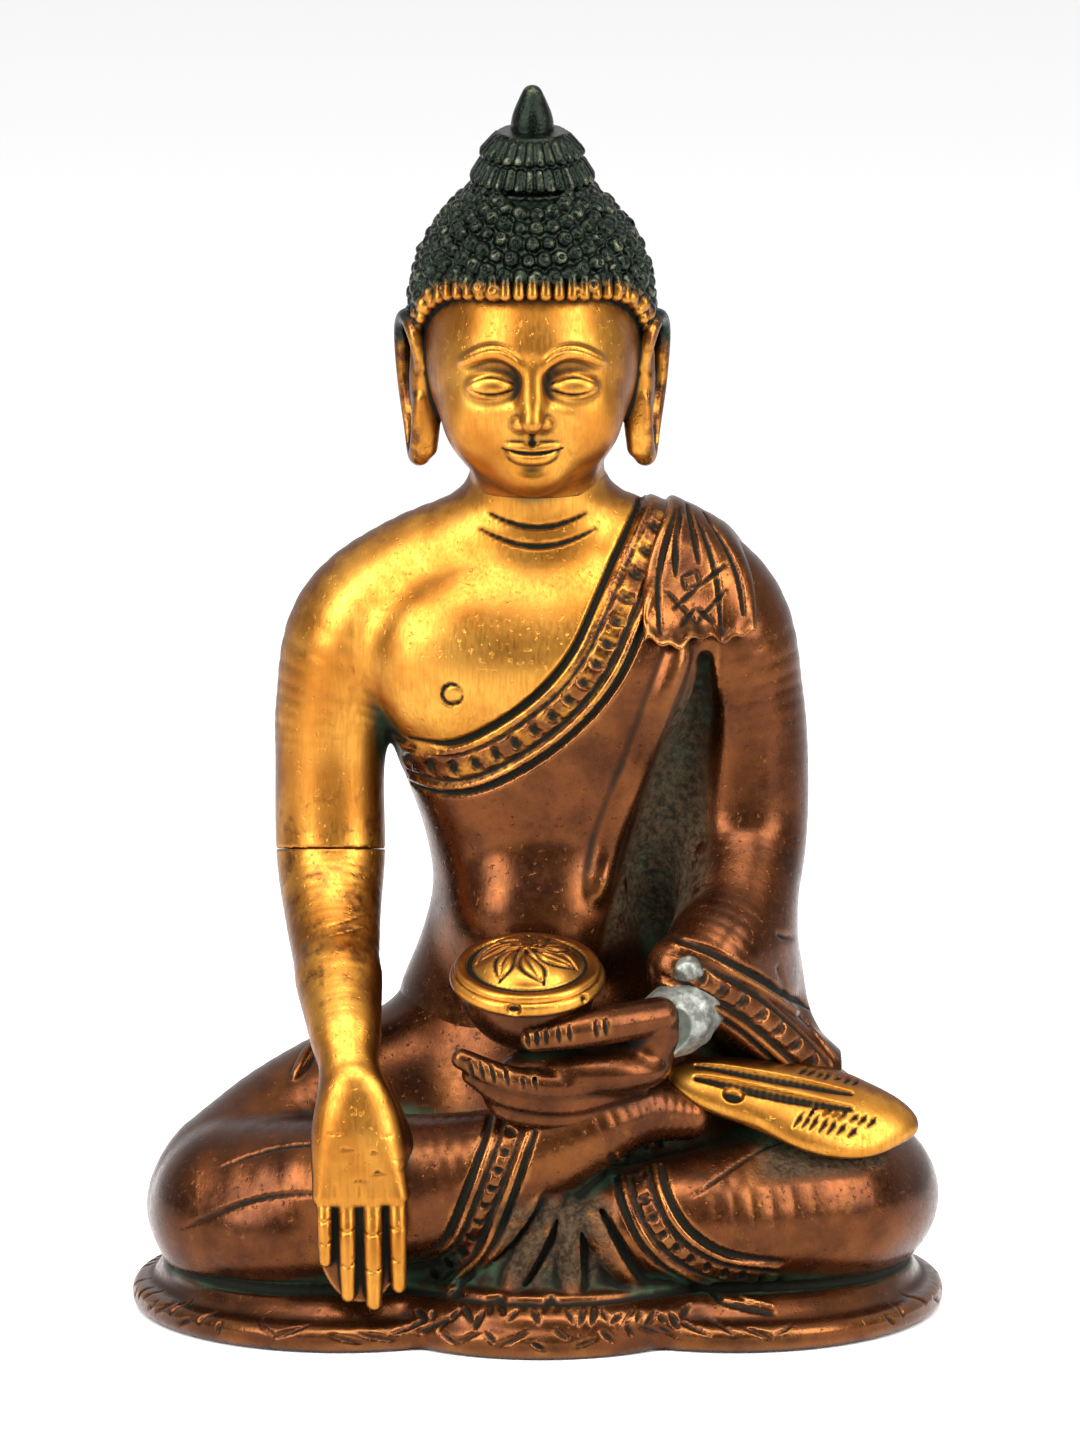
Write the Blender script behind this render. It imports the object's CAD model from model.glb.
"""Seated earth-touching figure: the looks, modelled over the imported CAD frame.

Each casting is modelled as a block of signed distances (a Clay), in millimetres in the row frame, and then
turned into a mesh. +X is the figure's left side, -Y is its front and +Z is up.
"""
import math
import bpy
import numpy as np
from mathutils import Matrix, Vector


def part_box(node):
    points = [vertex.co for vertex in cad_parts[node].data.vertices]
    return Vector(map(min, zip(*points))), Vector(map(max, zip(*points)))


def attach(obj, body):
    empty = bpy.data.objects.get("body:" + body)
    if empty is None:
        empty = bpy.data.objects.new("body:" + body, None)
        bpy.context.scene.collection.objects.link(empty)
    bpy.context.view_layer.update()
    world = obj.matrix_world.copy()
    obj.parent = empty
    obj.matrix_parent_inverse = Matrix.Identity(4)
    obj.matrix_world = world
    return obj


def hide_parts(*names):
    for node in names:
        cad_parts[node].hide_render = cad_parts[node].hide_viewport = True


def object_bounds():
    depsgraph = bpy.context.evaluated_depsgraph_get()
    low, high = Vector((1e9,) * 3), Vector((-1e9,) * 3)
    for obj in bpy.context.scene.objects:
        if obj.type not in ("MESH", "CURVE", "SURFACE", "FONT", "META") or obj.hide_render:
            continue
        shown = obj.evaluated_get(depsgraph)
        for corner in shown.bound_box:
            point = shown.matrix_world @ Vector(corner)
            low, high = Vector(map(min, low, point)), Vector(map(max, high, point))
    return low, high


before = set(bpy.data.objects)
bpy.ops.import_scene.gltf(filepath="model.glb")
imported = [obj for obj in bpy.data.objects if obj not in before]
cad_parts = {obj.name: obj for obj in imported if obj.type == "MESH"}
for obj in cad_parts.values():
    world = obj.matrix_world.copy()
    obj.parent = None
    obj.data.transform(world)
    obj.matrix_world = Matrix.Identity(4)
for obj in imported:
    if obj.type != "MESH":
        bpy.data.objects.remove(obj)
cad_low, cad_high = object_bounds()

import openvdb
from mathutils import Matrix, Vector

MM = 0.001
FAR = 9.0
VIEW_FROM = 60.0
rng = np.random.default_rng(21)


def node_box(node):
    """The lowest and highest corner of a CAD node, in millimetres."""
    low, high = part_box(node)
    return np.array(low) / MM, np.array(high) / MM


TOP = cad_high.z / MM
BOWL_LOW, BOWL_HIGH = node_box("alms_bowl")
SOLE_LOW, SOLE_HIGH = node_box("right_sole")
HEAD_LOW, HEAD_HIGH = node_box("head_casting")
NECK_Z = node_box("torso_casting")[1][2]
ELBOW_Z = node_box("right_forearm")[1][2] - 5.5
WAIST_Z = node_box("lap_casting")[1][2] - 4
JEWEL_Z = HEAD_HIGH[2]


# ---- shapes ---------------------------------------------------------------------------------------

class Shape:
    """A distance function with the box that it fills."""

    def __init__(self, low, high, distance):
        self.low, self.high, self.distance = np.array(low, float), np.array(high, float), distance


def unit(v):
    v = np.array(v, float)
    return v / np.linalg.norm(v)


def axes_to(along, across=(1, 0, 0)):
    """Rows are a frame's X, Y and Z: Z runs along, and X is as near to across as it can be."""
    z = unit(along)
    x = unit(np.array(across, float) - z * np.dot(z, across))
    return np.array([x, np.cross(z, x), z])


def ball(at, radii, turn=np.eye(3)):
    at, radii = np.array(at, float), np.array(radii, float)
    reach = np.abs(turn.T) @ radii

    def distance(x, y, z):
        x, y, z = x - at[0], y - at[1], z - at[2]
        own = [(x * row[0] + y * row[1] + z * row[2]) for row in turn]
        near = np.sqrt(sum((p / r) ** 2 for p, r in zip(own, radii)))
        slope = np.sqrt(sum((p / r ** 2) ** 2 for p, r in zip(own, radii)))
        return near * (near - 1) / np.maximum(slope, 1e-6)
    return Shape(at - reach, at + reach, distance)


def smooth_line(points, steps=5):
    """A Catmull-Rom curve through the points, all their columns included."""
    p = np.array(points, float)
    if len(p) < 3:
        return p
    p = np.vstack([2 * p[0] - p[1], p, 2 * p[-1] - p[-2]])
    out = []
    for i in range(1, len(p) - 2):
        for t in np.arange(steps) / steps:
            out.append(0.5 * (2 * p[i] + (p[i + 1] - p[i - 1]) * t
                              + (2 * p[i - 1] - 5 * p[i] + 4 * p[i + 1] - p[i + 2]) * t ** 2
                              + (3 * p[i] - p[i - 1] - 3 * p[i + 1] + p[i + 2]) * t ** 3))
    return np.array(out + [p[-2]])


def capsule(a, b, ra, rb):
    """A round rod from a to b whose radius changes from ra to rb."""
    a, b = np.array(a, float), np.array(b, float)
    span = b - a
    length2 = max(float(span @ span), 1e-9)
    wide = max(ra, rb)

    def distance(x, y, z):
        x, y, z = x - a[0], y - a[1], z - a[2]
        t = np.clip((x * span[0] + y * span[1] + z * span[2]) / length2, 0, 1)
        away = np.sqrt((x - t * span[0]) ** 2 + (y - t * span[1]) ** 2 + (z - t * span[2]) ** 2)
        return away - (ra + (rb - ra) * t)
    return Shape(np.minimum(a, b) - wide, np.maximum(a, b) + wide, distance)


def column(levels, squareness=2.0):
    """A standing body through level ovals, each (z, middle y, half width, half depth)."""
    fine = smooth_line(levels, 8)
    order = np.argsort(fine[:, 0])
    fine = fine[order]
    wide = fine[:, 2].max()
    low = (-wide, (fine[:, 1] - fine[:, 3]).min(), fine[0, 0])
    high = (wide, (fine[:, 1] + fine[:, 3]).max(), fine[-1, 0])

    def distance(x, y, z):
        mid, rx, ry = (np.interp(z, fine[:, 0], fine[:, i]).astype(np.float32) for i in (1, 2, 3))
        share = (np.abs(x / rx) ** squareness + np.abs((y - mid) / ry) ** squareness) ** (1 / squareness)
        side = (share - 1) * np.minimum(rx, ry)
        return np.maximum(side, np.maximum(z - high[2], low[2] - z))
    return Shape(low, high, distance)


def pad(at, rx, ry, height, roll, lift=0.0):
    """An oval slab with a rolled edge that stands at z = lift."""
    half = height / 2

    def distance(x, y, z):
        share = np.sqrt(((x - at[0]) / rx) ** 2 + ((y - at[1]) / ry) ** 2)
        out = (share - 1) * min(rx, ry) + roll
        tall = np.abs(z - lift - half) - half + roll
        return np.minimum(np.maximum(out, tall), 0) + np.hypot(np.maximum(out, 0), np.maximum(tall, 0)) - roll
    return Shape((at[0] - rx, at[1] - ry, lift), (at[0] + rx, at[1] + ry, lift + height), distance)


def soft_min(a, b, blend):
    h = np.clip(0.5 + 0.5 * (b - a) / blend, 0, 1)
    return b + (a - b) * h - blend * h * (1 - h)


# ---- clay -----------------------------------------------------------------------------------------

class Clay:
    """A block of signed distances. What is negative is metal."""

    def __init__(self, low, high, step):
        self.low, self.step = np.array(low, float), step
        self.axes = [np.arange(a, b + step, step).astype(np.float32) for a, b in zip(low, high)]
        self.d = np.full([len(a) for a in self.axes], FAR, np.float32)

    def window(self, low, high):
        """The slices that cover a box, and their coordinates."""
        spans = tuple(slice(*np.searchsorted(axis, (a, b))) for axis, a, b in zip(self.axes, low, high))
        x, y, z = (axis[span] for axis, span in zip(self.axes, spans))
        return spans, (x[:, None, None], y[None, :, None], z[None, None, :])

    def add(self, shape, blend=0.3):
        reach = blend + 2.0
        spans, at = self.window(shape.low - reach, shape.high + reach)
        if self.d[spans].size:
            self.d[spans] = soft_min(self.d[spans], shape.distance(*at), blend)

    def cut(self, shape, blend=0.3):
        reach = blend + 1.0
        spans, at = self.window(shape.low - reach, shape.high + reach)
        if self.d[spans].size:
            self.d[spans] = -soft_min(-self.d[spans], shape.distance(*at), blend)

    def tube(self, stations, blend=0.3, carve=False, steps=5):
        """A limb through stations (x, y, z, radius)."""
        line = smooth_line(stations, steps)
        reach = blend + 2.0
        wide = line[:, 3].max() + reach
        spans, _ = self.window(line[:, :3].min(0) - wide, line[:, :3].max(0) + wide)
        own = np.full(self.d[spans].shape, FAR, np.float32)
        if not own.size:
            return
        for a, b in zip(line[:-1], line[1:]):
            rod = capsule(a[:3], b[:3], a[3], b[3])
            part, at = self.window(np.maximum(rod.low - reach, self.corner(spans, 0)),
                                   np.minimum(rod.high + reach, self.corner(spans, -1)))
            local = tuple(slice(p.start - s.start, p.stop - s.start) for p, s in zip(part, spans))
            if own[local].size:
                own[local] = np.minimum(own[local], rod.distance(*at))
        if carve:
            self.d[spans] = -soft_min(-self.d[spans], own, blend)
        else:
            self.d[spans] = soft_min(self.d[spans], own, blend)

    def corner(self, spans, end):
        return np.array([axis[span][end] for axis, span in zip(self.axes, spans)])

    def grid(self):
        """The coordinates of every cell, ready to be broadcast."""
        x, y, z = self.axes
        return x[:, None, None], y[None, :, None], z[None, None, :]

    def keep(self, distance):
        """Keeps what lies on the negative side of a plane or other function over the whole block."""
        self.d = np.maximum(self.d, distance(*self.grid())).astype(np.float32)

    def sample(self, points):
        """The distance at each point, read between the cells."""
        return read(self.d, self.low, self.step, points)

    def land(self, start, toward, reach=60.0):
        """Where rays from start first meet the metal. Rays that miss come back as nan."""
        start = np.array(start, float)
        toward = np.broadcast_to(unit(toward) if np.ndim(toward) == 1 else toward, start.shape)
        gone = np.zeros(len(start))
        live = np.ones(len(start), bool)
        for _ in range(int(reach / (self.step * 0.8))):
            d = self.sample(start + toward * gone[:, None])
            live &= d > 0
            gone[live] += np.clip(d[live], self.step * 0.15, self.step * 0.8)
        found = start + toward * gone[:, None]
        found[live] = np.nan
        return found


def read(block, low, step, points):
    """Trilinear reading of a block at points."""
    at = (np.asarray(points) - low) / step
    at = np.clip(at, 0, np.array(block.shape) - 1.001)
    i = at.astype(int)
    f = (at - i).astype(np.float32)
    total = np.zeros(len(at), np.float32)
    for dx in (0, 1):
        for dy in (0, 1):
            for dz in (0, 1):
                share = (np.abs(1 - dx - f[:, 0]) * np.abs(1 - dy - f[:, 1]) * np.abs(1 - dz - f[:, 2]))
                total += share * block[i[:, 0] + dx, i[:, 1] + dy, i[:, 2] + dz]
    return total


def blur(block, cells):
    """A soft average over a cube of cells, done twice so that it has no corners."""
    cells = max(int(cells), 1)
    for _ in range(2):
        for axis in range(3):
            margin = [(cells + 1, cells) if a == axis else (0, 0) for a in range(3)]
            padded = np.pad(block, margin, mode="edge")
            total = np.cumsum(padded, axis=axis, dtype=np.float32)
            width = 2 * cells + 1
            size = block.shape[axis]
            ahead = np.take(total, range(width, width + size), axis)
            block = (ahead - np.take(total, range(size), axis)) / width
    return block


def stroke(clay, points, radius, raised=False, blend=0.12):
    """A chisel cut, or a raised thread, along points that lie on the surface."""
    points = np.asarray(points, float)
    points = points[~np.isnan(points).any(1)]
    if len(points) < 2:
        return
    taper = np.sin(np.linspace(0.25, math.pi - 0.25, len(points))) ** 0.5
    for a, b, ra, rb in zip(points[:-1], points[1:], radius * taper[:-1], radius * taper[1:]):
        if np.linalg.norm(b - a) < 3.0:
            rod = capsule(a, b, ra, rb)
            if raised:
                clay.add(rod, blend)
            else:
                clay.cut(rod, blend)


def seen_from(clay, flat, side):
    """Lays (x, z) points on the surface, straight from the front (side -1) or from the back (side 1)."""
    flat = np.asarray(flat, float)
    origin = np.column_stack([flat[:, 0], np.full(len(flat), side * VIEW_FROM), flat[:, 1]])
    return clay.land(origin, (0, -side, 0), 1.5 * VIEW_FROM)


def seen_from_front(clay, flat):
    return seen_from(clay, flat, -1)


def seen_from_back(clay, flat):
    return seen_from(clay, flat, 1)


def resample(line, pitch):
    """Points a pitch apart along a curve, and the curve's direction at each."""
    gaps = np.linalg.norm(np.diff(line, axis=0), axis=1)
    run = np.concatenate([[0], np.cumsum(gaps)])
    marks = np.arange(pitch / 2, run[-1], pitch)
    points = np.column_stack([np.interp(marks, run, line[:, i]) for i in range(line.shape[1])])
    ahead = np.column_stack([np.interp(marks + 0.2, run, line[:, i]) for i in range(line.shape[1])])
    back = np.column_stack([np.interp(marks - 0.2, run, line[:, i]) for i in range(line.shape[1])])
    way = ahead - back
    return points, way / np.maximum(np.linalg.norm(way, axis=1)[:, None], 1e-6)


def band(clay, center, half_width, lay=seen_from_front, pitch=3.0, thread=0.42, scroll=True):
    """An ornamented hem: two raised threads, a cut beside each, and crescents with leaves between them."""
    line = smooth_line(center, 6)
    points, way = resample(line, 0.6)
    side = np.column_stack([-way[:, 1], way[:, 0]])
    for sign in (-1, 1):
        edge = points + side * half_width * sign
        stroke(clay, lay(clay, points + side * (half_width - 0.95) * sign), 0.42)
        stroke(clay, lay(clay, edge + side * 0.85 * sign), 0.6)
        stroke(clay, lay(clay, edge), thread, raised=True)
    if not scroll:
        return
    marks, along = resample(line, pitch)
    inner = half_width - 1.5
    turn = np.linspace(-0.5 * math.pi, 0.55 * math.pi, 7)
    for i, (mark, a) in enumerate(zip(marks, along)):
        s = np.array([-a[1], a[0]]) * (1 if i % 2 else -1)
        for share, bend in ((1.0, 1.0), (0.55, 0.75)):
            curve = [mark + a * inner * 0.85 * share * math.cos(t) * bend + s * inner * share * math.sin(t)
                     for t in turn]
            stroke(clay, lay(clay, np.array(curve)), 0.36)


# ---- meshes, masks and pieces ---------------------------------------------------------------------

pieces = {}
clays = {}


def mesh_of(name, clay):
    """The clay's surface as a smooth-shaded mesh object in metres."""
    grid = openvdb.FloatGrid(3 * clay.step)
    limit = 3 * clay.step
    grid.copyFromArray(np.clip(clay.d, -limit, limit).astype(np.float32))
    points, quads = grid.convertToQuads()
    points = points * clay.step + clay.low
    mesh = bpy.data.meshes.new(name)
    mesh.from_pydata((points * MM).tolist(), [], quads[:, ::-1].tolist())
    mesh.polygons.foreach_set("use_smooth", np.ones(len(quads), bool))
    mesh.update()
    made = bpy.data.objects.new(name, mesh)
    bpy.context.collection.objects.link(made)
    return made, points


def put(mesh, name, numbers):
    layer = mesh.attributes.new(name, "FLOAT", "POINT")
    layer.data.foreach_set("value", np.clip(numbers, 0, 1).astype(np.float32))


def ramp(x, low, high):
    t = np.clip((x - low) / (high - low), 0, 1)
    return t * t * (3 - 2 * t)


def within(x, low, full_low, full_high, high):
    """1 between full_low and full_high, fading to 0 at low and at high."""
    return ramp(x, low, full_low) * (1 - ramp(x, full_high, high))


def lean_back(clay, points, reach=0.9):
    """How far the surface turns away from the figure's front, from -1 to 1."""
    slopes = [clay.sample(points + way) - clay.sample(points - way) for way in np.eye(3) * reach]
    return slopes[1] / np.maximum(np.sqrt(sum(s * s for s in slopes)), 1e-6)


def piece(name, clay, node, gilt=None, black=None, raw=None):
    """Makes the mesh, stores its masks, and ties it to its CAD node. gilt, black and raw take points."""
    made, points = mesh_of(name, clay)
    solid = np.clip(0.5 - clay.d / (2 * clay.step), 0, 1)
    fine = read(blur(solid, round(0.45 / clay.step)), clay.low, clay.step, points)
    broad = read(blur(solid, round(1.3 / clay.step)), clay.low, clay.step, points)
    put(made.data, "cuts", ramp(fine, 0.515, 0.6))
    put(made.data, "creases", ramp(broad, 0.53, 0.68))
    put(made.data, "edges", ramp(1 - fine, 0.53, 0.64))
    put(made.data, "flank", ramp(lean_back(clay, points), -0.8, 0.05))
    for mask, rule in (("gilt", gilt), ("black", black), ("raw", raw)):
        put(made.data, mask, rule(points) if rule else np.zeros(len(points)))
    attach(made, "root")
    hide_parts(node)
    pieces[name], clays[name] = (made, points), clay
    return made


def even(share):
    """A mask with the same share at every point."""
    return lambda p: np.full(len(p), share)


def shade_hollows(step=0.8):
    """Stores on every piece how enclosed each point is by the whole figure, at the scale of its folds."""
    low = np.array(cad_low) / MM - 14
    high = np.array(cad_high) / MM + 14
    whole = Clay(low, high, step)
    for clay in clays.values():
        end = clay.low + clay.step * (np.array(clay.d.shape) - 1)
        spans, at = whole.window(clay.low, end)
        x, y, z = np.meshgrid(*[a.ravel() for a in at], indexing="ij")
        inner = clay.sample(np.column_stack([x.ravel(), y.ravel(), z.ravel()])).reshape(x.shape)
        whole.d[spans] = np.minimum(whole.d[spans], inner)
    solid = np.clip(0.5 - whole.d / (2 * step), 0, 1)
    wide = blur(solid, round(3.2 / step))
    for made, points in pieces.values():
        put(made.data, "hollows", ramp(read(wide, low, step, points), 0.52, 0.76))


# ---- robe edge: where bare skin ends on the trunk, as (x, z) -------------------------------------

ROBE_EDGE = [(18.5, 108), (16.3, 104.8), (13.7, 99.5), (10.9, 93.8), (7.4, 86.4), (2.6, 80.4), (-3.6, 75.6),
             (-10.4, 72.4), (-17.5, 72.4), (-24, 76)]
ROBE_HALF = 3.1
ROBE_THICK = 0.7
ARMPIT_X = -18.5
ELBOW_GAP = 0.05
robe_line = smooth_line(ROBE_EDGE, 8)


def robe_side(x, z):
    """How far a point lies on the robe's side of the edge, seen from the front or the back."""
    x, z = np.broadcast_arrays(x, z)
    best, side = np.full(x.shape, 99.0), np.zeros(x.shape)
    for a, b in zip(robe_line[:-1], robe_line[1:]):
        span = b - a
        t = np.clip(((x - a[0]) * span[0] + (z - a[1]) * span[1]) / (span @ span), 0, 1)
        dx, dz = x - a[0] - t * span[0], z - a[1] - t * span[1]
        away = np.hypot(dx, dz)
        closer = away < best
        best = np.where(closer, away, best)
        side = np.where(closer, np.sign(dx * span[1] - dz * span[0]), side)
    return -best * side


# ---- trunk and arms ------------------------------------------------------------------------------

RIGHT_ARM = [(-6, 2.6, 101.6, 6.2), (-16, 3, 95.4, 8.1), (-23, 3, 88.5, 9.2), (-26.2, 2.6, 79, 7.8),
             (-27, 2, 71, 7.1), (-26.9, 0.6, 60, 7.1), (-26.6, -4.4, 53, 6.3), (-25.8, -12.5, 46, 5.3),
             (-24.6, -21, 39.8, 3.9)]
LEFT_ARM = [(6, 2.6, 102, 6.2), (16, 3, 96, 8.3), (22.6, 3, 89.6, 9.2), (25.8, 2.8, 80, 8),
            (27, 2.4, 71, 7.5), (27, 0.6, 61, 7.2), (25.6, -6, 53.5, 6.8), (23.4, -12, 49.2, 6.2),
            (20.4, -16.4, 46, 5.4)]
TRUNK_SQUARENESS = 2.15
STEP = 0.28
FINE = 0.2


def make_trunk():
    clay = Clay((-36, -24, WAIST_Z - 9.5), (39.5, 21.5, NECK_Z + 3), STEP)
    clay.add(column([(34, 5.5, 18.6, 14.4), (40, 5.5, 17.4, 13.4), (48, 4.6, 14.4, 12.2),
                     (55, 3.6, 12.9, 11.6), (62, 3, 13.8, 12), (70, 2.6, 16.4, 12.8), (78, 2.3, 19.2, 13.4),
                     (86, 2.2, 21, 13.4), (93, 2.5, 20.6, 11.8), (99, 2.8, 16.6, 10), (104, 2.6, 11.4, 9),
                     (108, 2, 9.1, 8.8), (114, 1.4, 8.6, 8.6)], TRUNK_SQUARENESS), 0.3)
    for sign in (-1, 1):
        clay.add(ball((sign * 9.4, -4.9, 86), (11.5, 6.6, 10)), 6)
        clay.add(ball((sign * 11, 10.5, 88), (9.5, 5, 10)), 5)
    clay.add(ball((0, -4.6, 52), (9.6, 7.4, 8.5)), 5)
    clay.tube(RIGHT_ARM, 2.6)
    clay.tube(LEFT_ARM, 2.6)
    drape_left_arm(clay)
    x, y, z = clay.grid()
    covered = ramp(robe_side(x, z), -ROBE_HALF + 0.2, -ROBE_HALF + 1.1) * ramp(x, ARMPIT_X - 1, ARMPIT_X + 1)
    clay.d -= (ROBE_THICK * covered).astype(np.float32)
    clay.keep(lambda x, y, z: z - NECK_Z - 1.2)
    chase_trunk(clay)
    clay.keep(lambda x, y, z: np.where(x < ARMPIT_X, ELBOW_GAP - above_elbow(y, z), -FAR))
    return piece("torso", clay, "torso_casting", gilt=trunk_gilt, raw=trunk_raw)


def drape_left_arm(clay):
    """The web behind the left arm, and the sleeve that falls from the cuff over the thigh."""
    clay.add(ball((18.4, 5.5, 65), (7, 6.6, 22)), 5)
    clay.tube([(21, -6.6, 86, 1.6), (20.4, -5.2, 78, 3.2), (18.2, -6, 68, 4.2), (16, -9, 58, 4.4)], 2.4,
              carve=True)
    clay.add(ball((26.6, -3.4, 44), (7, 11, 11)), 4)
    clay.tube([(17.6, -18.4, 48.4, 2.6), (22, -17.4, 45.4, 3.2), (27, -14.6, 41, 3.4), (32, -10.6, 36, 3.6),
               (37, -8, 31.5, 3.4)], 2.4)
    clay.tube([(28.6, 1, 50, 2.2), (30.4, -2, 42, 2.6), (35, -5, 33.5, 2.4)], 3)
    for fold in ([(31, -13.6, 47, 0.5), (33.6, -11.4, 41, 0.8), (36.4, -10.4, 35.4, 0.5)],
                 [(34.6, -7.6, 48, 0.4), (36.6, -7.0, 41, 0.8), (39.6, -7.4, 34, 0.5)],
                 [(27, -14.8, 54, 0.4), (31, -12.6, 51, 0.6), (34, -8, 50, 0.3)]):
        clay.tube(fold, 1.2, carve=True)


def chase_trunk(clay):
    band(clay, ROBE_EDGE[1:-1], ROBE_HALF - 0.5)
    band(clay, ROBE_EDGE[1:-1], ROBE_HALF - 0.5, lay=seen_from_back)
    for level, half, drop in ((105.6, 6.4, 2.2), (103.6, 7.4, 2.6)):
        arc = [(x, level - drop * math.cos(x / half * 1.35)) for x in np.linspace(-half, half, 15)]
        stroke(clay, seen_from_front(clay, arc), 0.42)
    turn = np.linspace(0, 2 * math.pi, 17)
    nipple = np.array([-11.0, 82.5])
    stroke(clay, seen_from_front(clay, nipple + 1.35 * np.column_stack([np.cos(turn), np.sin(turn)])), 0.36)
    ridge = [(18.6, 89), (16.2, 82), (13, 73), (9.6, 64), (7.6, 56)]
    stroke(clay, seen_from_front(clay, smooth_line(ridge, 6)), 0.9, raised=True, blend=2.2)
    band(clay, [(16.2, 49.2), (21.4, 47.2), (27.6, 42.8), (33, 37.4), (37, 32.6)], 2.5, pitch=3.2, thread=0.5)


def above_elbow(y, z):
    """How far a point of the right arm lies above the seam at the elbow."""
    return (y - 0.6) * 0.196 + (z - ELBOW_Z) * 0.981


def trunk_raw(p):
    """Where the casting was left rough: the recess between the trunk and the left arm."""
    x, y, z = p.T
    near_ridge = ramp(x - (8.6 + (z - 52) * 0.29), -0.4, 1.2)
    near_arm = 1 - ramp(x, 20.5, 23.5)
    return near_ridge * near_arm * ramp(z, 46, 52) * (1 - ramp(z, 80, 87)) * (1 - ramp(np.abs(y + 2), 9, 12))


def trunk_gilt(p):
    robe = robe_side(p[:, 0], p[:, 2])
    on_band = ramp(robe, -ROBE_HALF - 0.6, -ROBE_HALF + 0.8)
    bare = 1 - 0.62 * on_band - 0.38 * ramp(robe, ROBE_HALF, ROBE_HALF + 2)
    bare = np.where((p[:, 0] < ARMPIT_X - 0.6) & (p[:, 2] < 88), 1 - 0.34 * ramp(78 - p[:, 2], 0, 14), bare)
    return bare * ramp(p[:, 2], 50, 58)


FINGER_ROOT_Z = 20.5
FINGERS = [((-27.4, 11.2), 0.95), ((-24.5, 6.6), 1.1), ((-21.2, 5.5), 1.25), ((-18.0, 7.8), 1.15)]


def make_forearm():
    """The bare forearm, with the hand that reaches down over the shin to touch the ground."""
    clay = Clay((-35.5, -35.5, 4.0), (-14, 9.5, ELBOW_Z + 3), FINE)
    clay.tube(RIGHT_ARM, 1.0)
    clay.tube([(-25.6, -14, 45.4, 4.9), (-24.8, -21.6, 39.4, 4.1), (-23.8, -26.4, 34, 3.8),
               (-23.2, -27.4, 29, 3.6)], 2.4)
    for (x, tip), radius in FINGERS:
        wrist = -24 + (x + 23) * 0.32
        middle = (wrist + x) / 2
        clay.tube([(wrist, -26.2, 34, 2.0), (middle, -28.9, 28, 2.1), (x, -30.5, FINGER_ROOT_Z, 1.5)], 2)
    clay.add(ball((-23, -28.4, 27), (5.4, 2.7, 9)), 2.6)
    clay.add(ball((-22.7, -29.9, 15), (5.6, 1.0, 8.6)), 0.4)
    clay.tube([(-20.2, -24.6, 33, 1.8), (-17.8, -26.6, 27, 1.8), (-17.0, -27.4, 22, 1.3)], 1.0)
    for (x, tip), radius in FINGERS:
        clay.tube([(x, -30.4, FINGER_ROOT_Z, radius), (x + 0.1, -31.6, (FINGER_ROOT_Z + tip) / 2 + 1, radius),
                   (x + 0.2, -31.2, tip + radius, radius * 0.86)], 0.25)
    for x in (-26.0, -22.9, -19.6):
        clay.tube([(x, -32.4, FINGER_ROOT_Z + 1.6, 0.4), (x, -32.4, 16, 0.7)], 0.3, carve=True)
    for (x, tip), _ in FINGERS:
        for share in (0.3, 0.62):
            level = FINGER_ROOT_Z + (tip - FINGER_ROOT_Z) * share
            knuckle = [(x + dx, level - 0.25 * math.cos(dx * 2)) for dx in (-1.4, -0.7, 0, 0.7, 1.4)]
            stroke(clay, seen_from_front(clay, knuckle), 0.15)
    for _ in range(9):
        x, level = rng.uniform(-28, -18), rng.uniform(21.5, 33)
        mark = [(x + t, level + 0.05 * t) for t in np.linspace(0, rng.uniform(0.8, 2.2), 5)]
        stroke(clay, seen_from_front(clay, mark), 0.11)
    for level, lean in ((52.5, 1.5), (51.4, 1.1)):
        ring = [(x, level + lean * (x + 27) / 7) for x in np.linspace(-27, -22, 7)]
        stroke(clay, seen_from_front(clay, ring), 0.11)
    clay.keep(lambda x, y, z: ELBOW_GAP + above_elbow(y, z))
    return piece("right_forearm", clay, "right_forearm", gilt=forearm_gilt)


def forearm_gilt(p):
    """Bright on the back of the hand and the fingers, browner up the arm, dark between the fingers."""
    x, y, z = p.T
    between = (1 - ramp(-y, 30.9, 31.5)) * ramp(FINGER_ROOT_Z - z, -0.5, 1)
    thumb = ramp(x, -17.4, -16.8) * ramp(y, -29.6, -28.6) * (1 - ramp(z, 32, 34))
    return (0.66 + 0.34 * ramp(47 - z, 0, 9)) * (1 - between) * (1 - thumb)


# ---- head: the chin sits on the neck seam, the features are spaced by thirds and fifths ----------

CHIN = NECK_Z + 0.5
HAIRLINE = CHIN + 26.5
THIRD = (HAIRLINE - CHIN) / 3
EYE = 5.36
MID_X = -0.7
BOW = 0.035


def head_at(x, y, up):
    """A point up above the chin. The head is bowed, so it leans forward by a share of its height."""
    return (MID_X + x, y - up * BOW, CHIN + up)


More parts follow.
